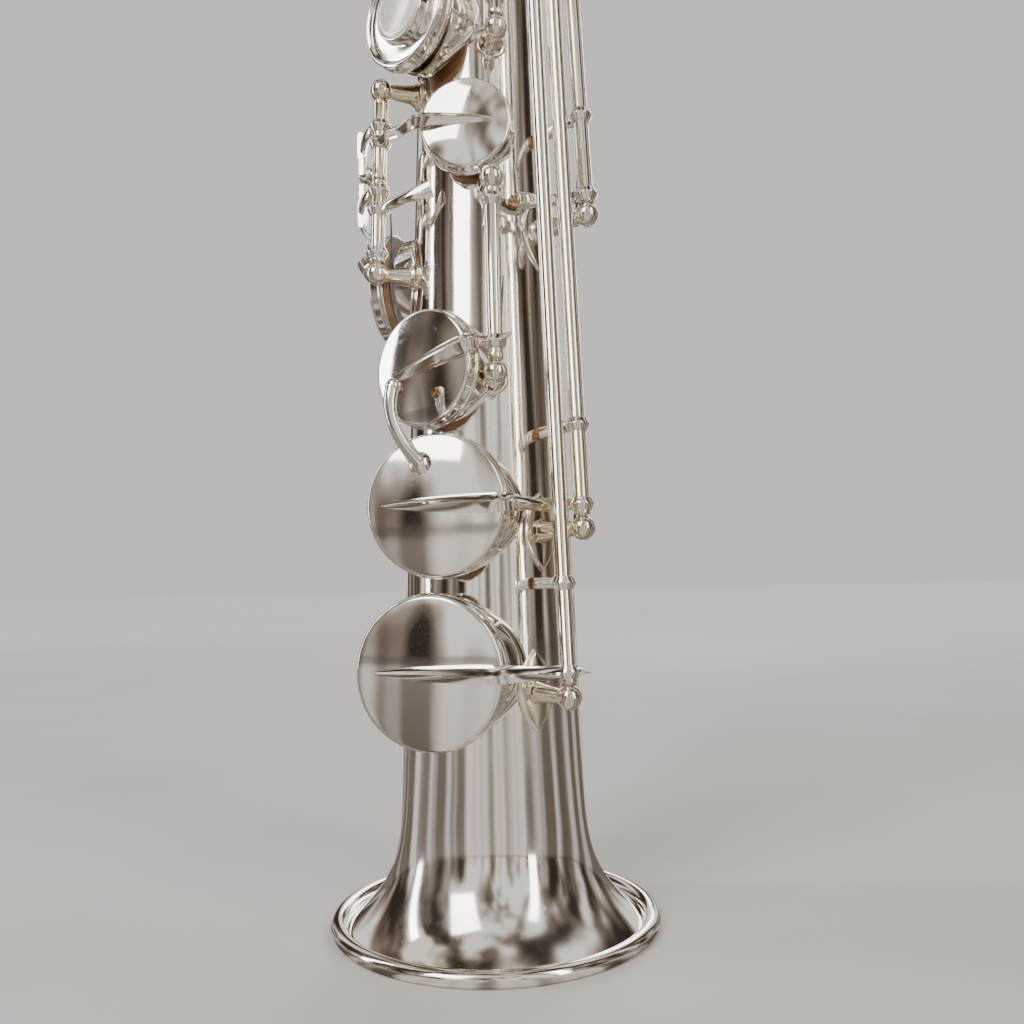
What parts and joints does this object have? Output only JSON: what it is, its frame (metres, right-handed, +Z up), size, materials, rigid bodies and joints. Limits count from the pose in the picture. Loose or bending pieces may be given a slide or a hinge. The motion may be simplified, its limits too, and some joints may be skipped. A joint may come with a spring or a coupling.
{
  "type": "soprano saxophone",
  "caption": "Straight conical silver-plated saxophone that stands on its bell, with padded keys on long hinge rods, finger touches and a beak mouthpiece.",
  "frame": {"origin": "centre of the ring that the bell rests on", "axes": "+Z runs up the bore from the bell to the mouthpiece; -Y is the front, where the stack keys lie; +X is the player's left"},
  "size_m": [0.0922, 0.092, 0.684],
  "materials": {
    "silver": "silver plate over brass, polished, lightly tarnished",
    "leather": "tan kid leather over felt",
    "pearl": "pearl touch",
    "cork": "natural cork",
    "spring_steel": "blued steel",
    "rod_steel": "ground steel",
    "hard_rubber": "polished black hard rubber",
    "cane": "scraped cane"
  },
  "bodies": {
    "a_body": {"a_key": "silver", "a_pearl": "pearl"},
    "b_body": {"b_key": "silver", "b_pearl": "pearl"},
    "horn": {"bell": "silver", "bell_rim_bead": "silver", "body_tube": "silver", "hinge_rods": "rod_steel", "key_posts": "silver", "neck_ring": "silver", "neck_tube": "silver", "needle_springs": "spring_steel", "octave_vents": "silver", "post_feet": "silver", "strap_ring": "silver", "tenon_cork": "cork", "thumb_hook": "silver", "thumb_rest": "silver"},
    "c_body": {"c_key": "silver"},
    "d_body": {"d_key": "silver", "d_pad": "leather", "d_pearl": "pearl"},
    "e_flat_body": {"e_flat_key": "silver", "e_flat_pad": "leather"},
    "e_flat_roller_body": {"e_flat_roller": "silver"},
    "e_body": {"e_key": "silver", "e_pad": "leather", "e_pearl": "pearl"},
    "f_body": {"f_key": "silver", "f_pad": "leather", "f_pearl": "pearl"},
    "f_sharp_body": {"f_sharp_key": "silver", "f_sharp_pad": "leather"},
    "g_body": {"g_key": "silver", "g_pearl": "pearl"},
    "g_sharp_body": {"g_sharp_key": "silver"},
    "mouthpiece_body": {"ligature": "silver", "ligature_screw_lower": "silver", "ligature_screw_upper": "silver", "mouthpiece": "hard_rubber", "reed": "cane"},
    "low_b_body": {"low_b_corks": "cork", "low_b_key": "silver", "low_b_pad": "leather"},
    "low_b_flat_body": {"low_b_flat_cork": "cork", "low_b_flat_key": "silver", "low_b_flat_pad": "leather"},
    "low_c_body": {"low_c_key": "silver", "low_c_pad": "leather"},
    "low_c_roller_body": {"low_c_roller": "silver"},
    "low_c_sharp_lever_body": {"low_c_sharp_corks": "cork", "low_c_sharp_lever": "silver"},
    "low_c_sharp_body": {"low_c_sharp_key": "silver", "low_c_sharp_pad": "leather"},
    "octave_key_body": {"octave_key": "silver"},
    "octave_lever_body": {"octave_lever": "silver"},
    "palm_d_body": {"palm_d_key": "silver"},
    "palm_e_flat_body": {"palm_e_flat_key": "silver"},
    "side_b_flat_body": {"side_b_flat_key": "silver"},
    "side_c_body": {"side_c_key": "silver"}
  },
  "joints": [
    {"name": "low_b_flat_hinge", "type": "hinge", "parent": "horn", "child": "low_b_flat_body", "pos_m": [0.041, -0.00797, 0.0665], "axis": [0.038, 0.0024, -0.9993], "range_deg": [0, 11], "stiffness_Nm_per_rad": 0.08},
    {"name": "low_b_hinge", "type": "hinge", "parent": "horn", "child": "low_b_body", "pos_m": [0.04113, -0.00187, 0.109], "axis": [0.0404, 0.0047, -0.9992], "range_deg": [0, 11], "stiffness_Nm_per_rad": 0.08},
    {"name": "low_c_sharp_hinge", "type": "hinge", "parent": "horn", "child": "low_c_sharp_body", "pos_m": [0.02588, -0.01745, 0.1505], "axis": [0.0271, -0.0183, -0.9995], "range_deg": [-11, 0], "stiffness_Nm_per_rad": 0.08},
    {"name": "low_c_hinge", "type": "hinge", "parent": "horn", "child": "low_c_body", "pos_m": [-0.01214, -0.03004, 0.1845], "axis": [-0.0123, -0.0303, -0.9995], "range_deg": [0, 11], "stiffness_Nm_per_rad": 0.08},
    {"name": "e_flat_hinge", "type": "hinge", "parent": "horn", "child": "e_flat_body", "pos_m": [-0.01214, -0.03004, 0.1845], "axis": [0.0123, 0.0303, 0.9995], "range_deg": [-9, 0], "stiffness_Nm_per_rad": 0.08},
    {"name": "d_hinge", "type": "hinge", "parent": "horn", "child": "d_body", "pos_m": [0.02354, -0.01332, 0.2475], "axis": [0.0285, -0.0161, -0.9995], "range_deg": [0, 9], "stiffness_Nm_per_rad": 0.08},
    {"name": "e_hinge", "type": "hinge", "parent": "horn", "child": "e_body", "pos_m": [0.02354, -0.01332, 0.2475], "axis": [0.0285, -0.0161, -0.9995], "range_deg": [0, 9], "stiffness_Nm_per_rad": 0.08},
    {"name": "f_hinge", "type": "hinge", "parent": "horn", "child": "f_body", "pos_m": [0.02354, -0.01332, 0.2475], "axis": [0.0285, -0.0161, -0.9995], "range_deg": [0, 9], "stiffness_Nm_per_rad": 0.08},
    {"name": "f_sharp_hinge", "type": "hinge", "parent": "horn", "child": "f_sharp_body", "pos_m": [0.02354, -0.01332, 0.2475], "axis": [0.0285, -0.0161, -0.9995], "range_deg": [0, 9], "stiffness_Nm_per_rad": 0.08},
    {"name": "g_hinge", "type": "hinge", "parent": "horn", "child": "g_body", "pos_m": [0.02, -0.01132, 0.3715], "axis": [0.0285, -0.0161, -0.9995], "range_deg": [0, 9], "stiffness_Nm_per_rad": 0.08},
    {"name": "g_sharp_hinge", "type": "hinge", "parent": "horn", "child": "g_sharp_body", "pos_m": [0.02245, -0.00315, 0.3995], "axis": [-0.0324, 0.0046, 0.9995], "range_deg": [-12, 0], "stiffness_Nm_per_rad": 0.08},
    {"name": "a_hinge", "type": "hinge", "parent": "horn", "child": "a_body", "pos_m": [0.02, -0.01132, 0.3715], "axis": [0.0285, -0.0161, -0.9995], "range_deg": [0, 9], "stiffness_Nm_per_rad": 0.08},
    {"name": "b_hinge", "type": "hinge", "parent": "horn", "child": "b_body", "pos_m": [0.02, -0.01132, 0.3715], "axis": [0.0285, -0.0161, -0.9995], "range_deg": [0, 9], "stiffness_Nm_per_rad": 0.08},
    {"name": "c_hinge", "type": "hinge", "parent": "horn", "child": "c_body", "pos_m": [0.02, -0.01132, 0.3715], "axis": [0.0285, -0.0161, -0.9995], "range_deg": [0, 9], "stiffness_Nm_per_rad": 0.08},
    {"name": "palm_d_hinge", "type": "hinge", "parent": "horn", "child": "palm_d_body", "pos_m": [0.01695, 0.00551, 0.514], "axis": [0.0311, 0.0101, -0.9995], "range_deg": [-14, 0], "stiffness_Nm_per_rad": 0.08},
    {"name": "palm_e_flat_hinge", "type": "hinge", "parent": "horn", "child": "palm_e_flat_body", "pos_m": [0.01605, 0.00521, 0.543], "axis": [0.0311, 0.0101, -0.9995], "range_deg": [-14, 0], "stiffness_Nm_per_rad": 0.08},
    {"name": "side_b_flat_hinge", "type": "hinge", "parent": "horn", "child": "side_b_flat_body", "pos_m": [-0.02408, -0.00253, 0.334], "axis": [0.0325, 0.0034, 0.9995], "range_deg": [-12, 0], "stiffness_Nm_per_rad": 0.08},
    {"name": "side_c_hinge", "type": "hinge", "parent": "horn", "child": "side_c_body", "pos_m": [-0.02409, 0.00601, 0.358], "axis": [0.0317, -0.0079, 0.9995], "range_deg": [-12, 0], "stiffness_Nm_per_rad": 0.08},
    {"name": "low_c_sharp_lever_hinge", "type": "hinge", "parent": "horn", "child": "low_c_sharp_lever_body", "pos_m": [0.0389, 0.00478, 0.194], "axis": [0.0471, 0.0117, -0.9988], "range_deg": [-4.4, 0], "stiffness_Nm_per_rad": 0.4},
    {"name": "octave_lever_hinge", "type": "hinge", "parent": "horn", "child": "octave_lever_body", "pos_m": [-0.00901, 0.01767, 0.425], "axis": [0.0148, -0.0291, 0.9995], "range_deg": [-10, 0], "stiffness_Nm_per_rad": 0.08},
    {"name": "octave_key_hinge", "type": "hinge", "parent": "horn", "child": "octave_key_body", "pos_m": [-0.00841, 0.01651, 0.465], "axis": [0.0148, -0.0291, 0.9995], "range_deg": [-10, 0], "stiffness_Nm_per_rad": 0.08},
    {"name": "low_c_roller_spin", "type": "hinge", "parent": "low_c_body", "child": "low_c_roller_body", "pos_m": [-0.03208, -0.01745, 0.215], "axis": [0.6157, -0.788, 0], "continuous": true},
    {"name": "e_flat_roller_spin", "type": "hinge", "parent": "e_flat_body", "child": "e_flat_roller_body", "pos_m": [-0.03208, -0.01745, 0.22], "axis": [0.6157, -0.788, 0], "continuous": true},
    {"name": "mouthpiece_slide", "type": "slide", "parent": "horn", "child": "mouthpiece_body", "axis": [0, 0, 1], "range_m": [-0.001, 0.006]}
  ],
  "couplings": [
    {"joint": "low_c_sharp_hinge", "follows": "low_c_sharp_lever_hinge", "ratio": 2.5},
    {"joint": "f_sharp_hinge", "follows": "f_hinge", "ratio": 1},
    {"joint": "c_hinge", "follows": "b_hinge", "ratio": 1},
    {"joint": "octave_key_hinge", "follows": "octave_lever_hinge", "ratio": 1}
  ]
}
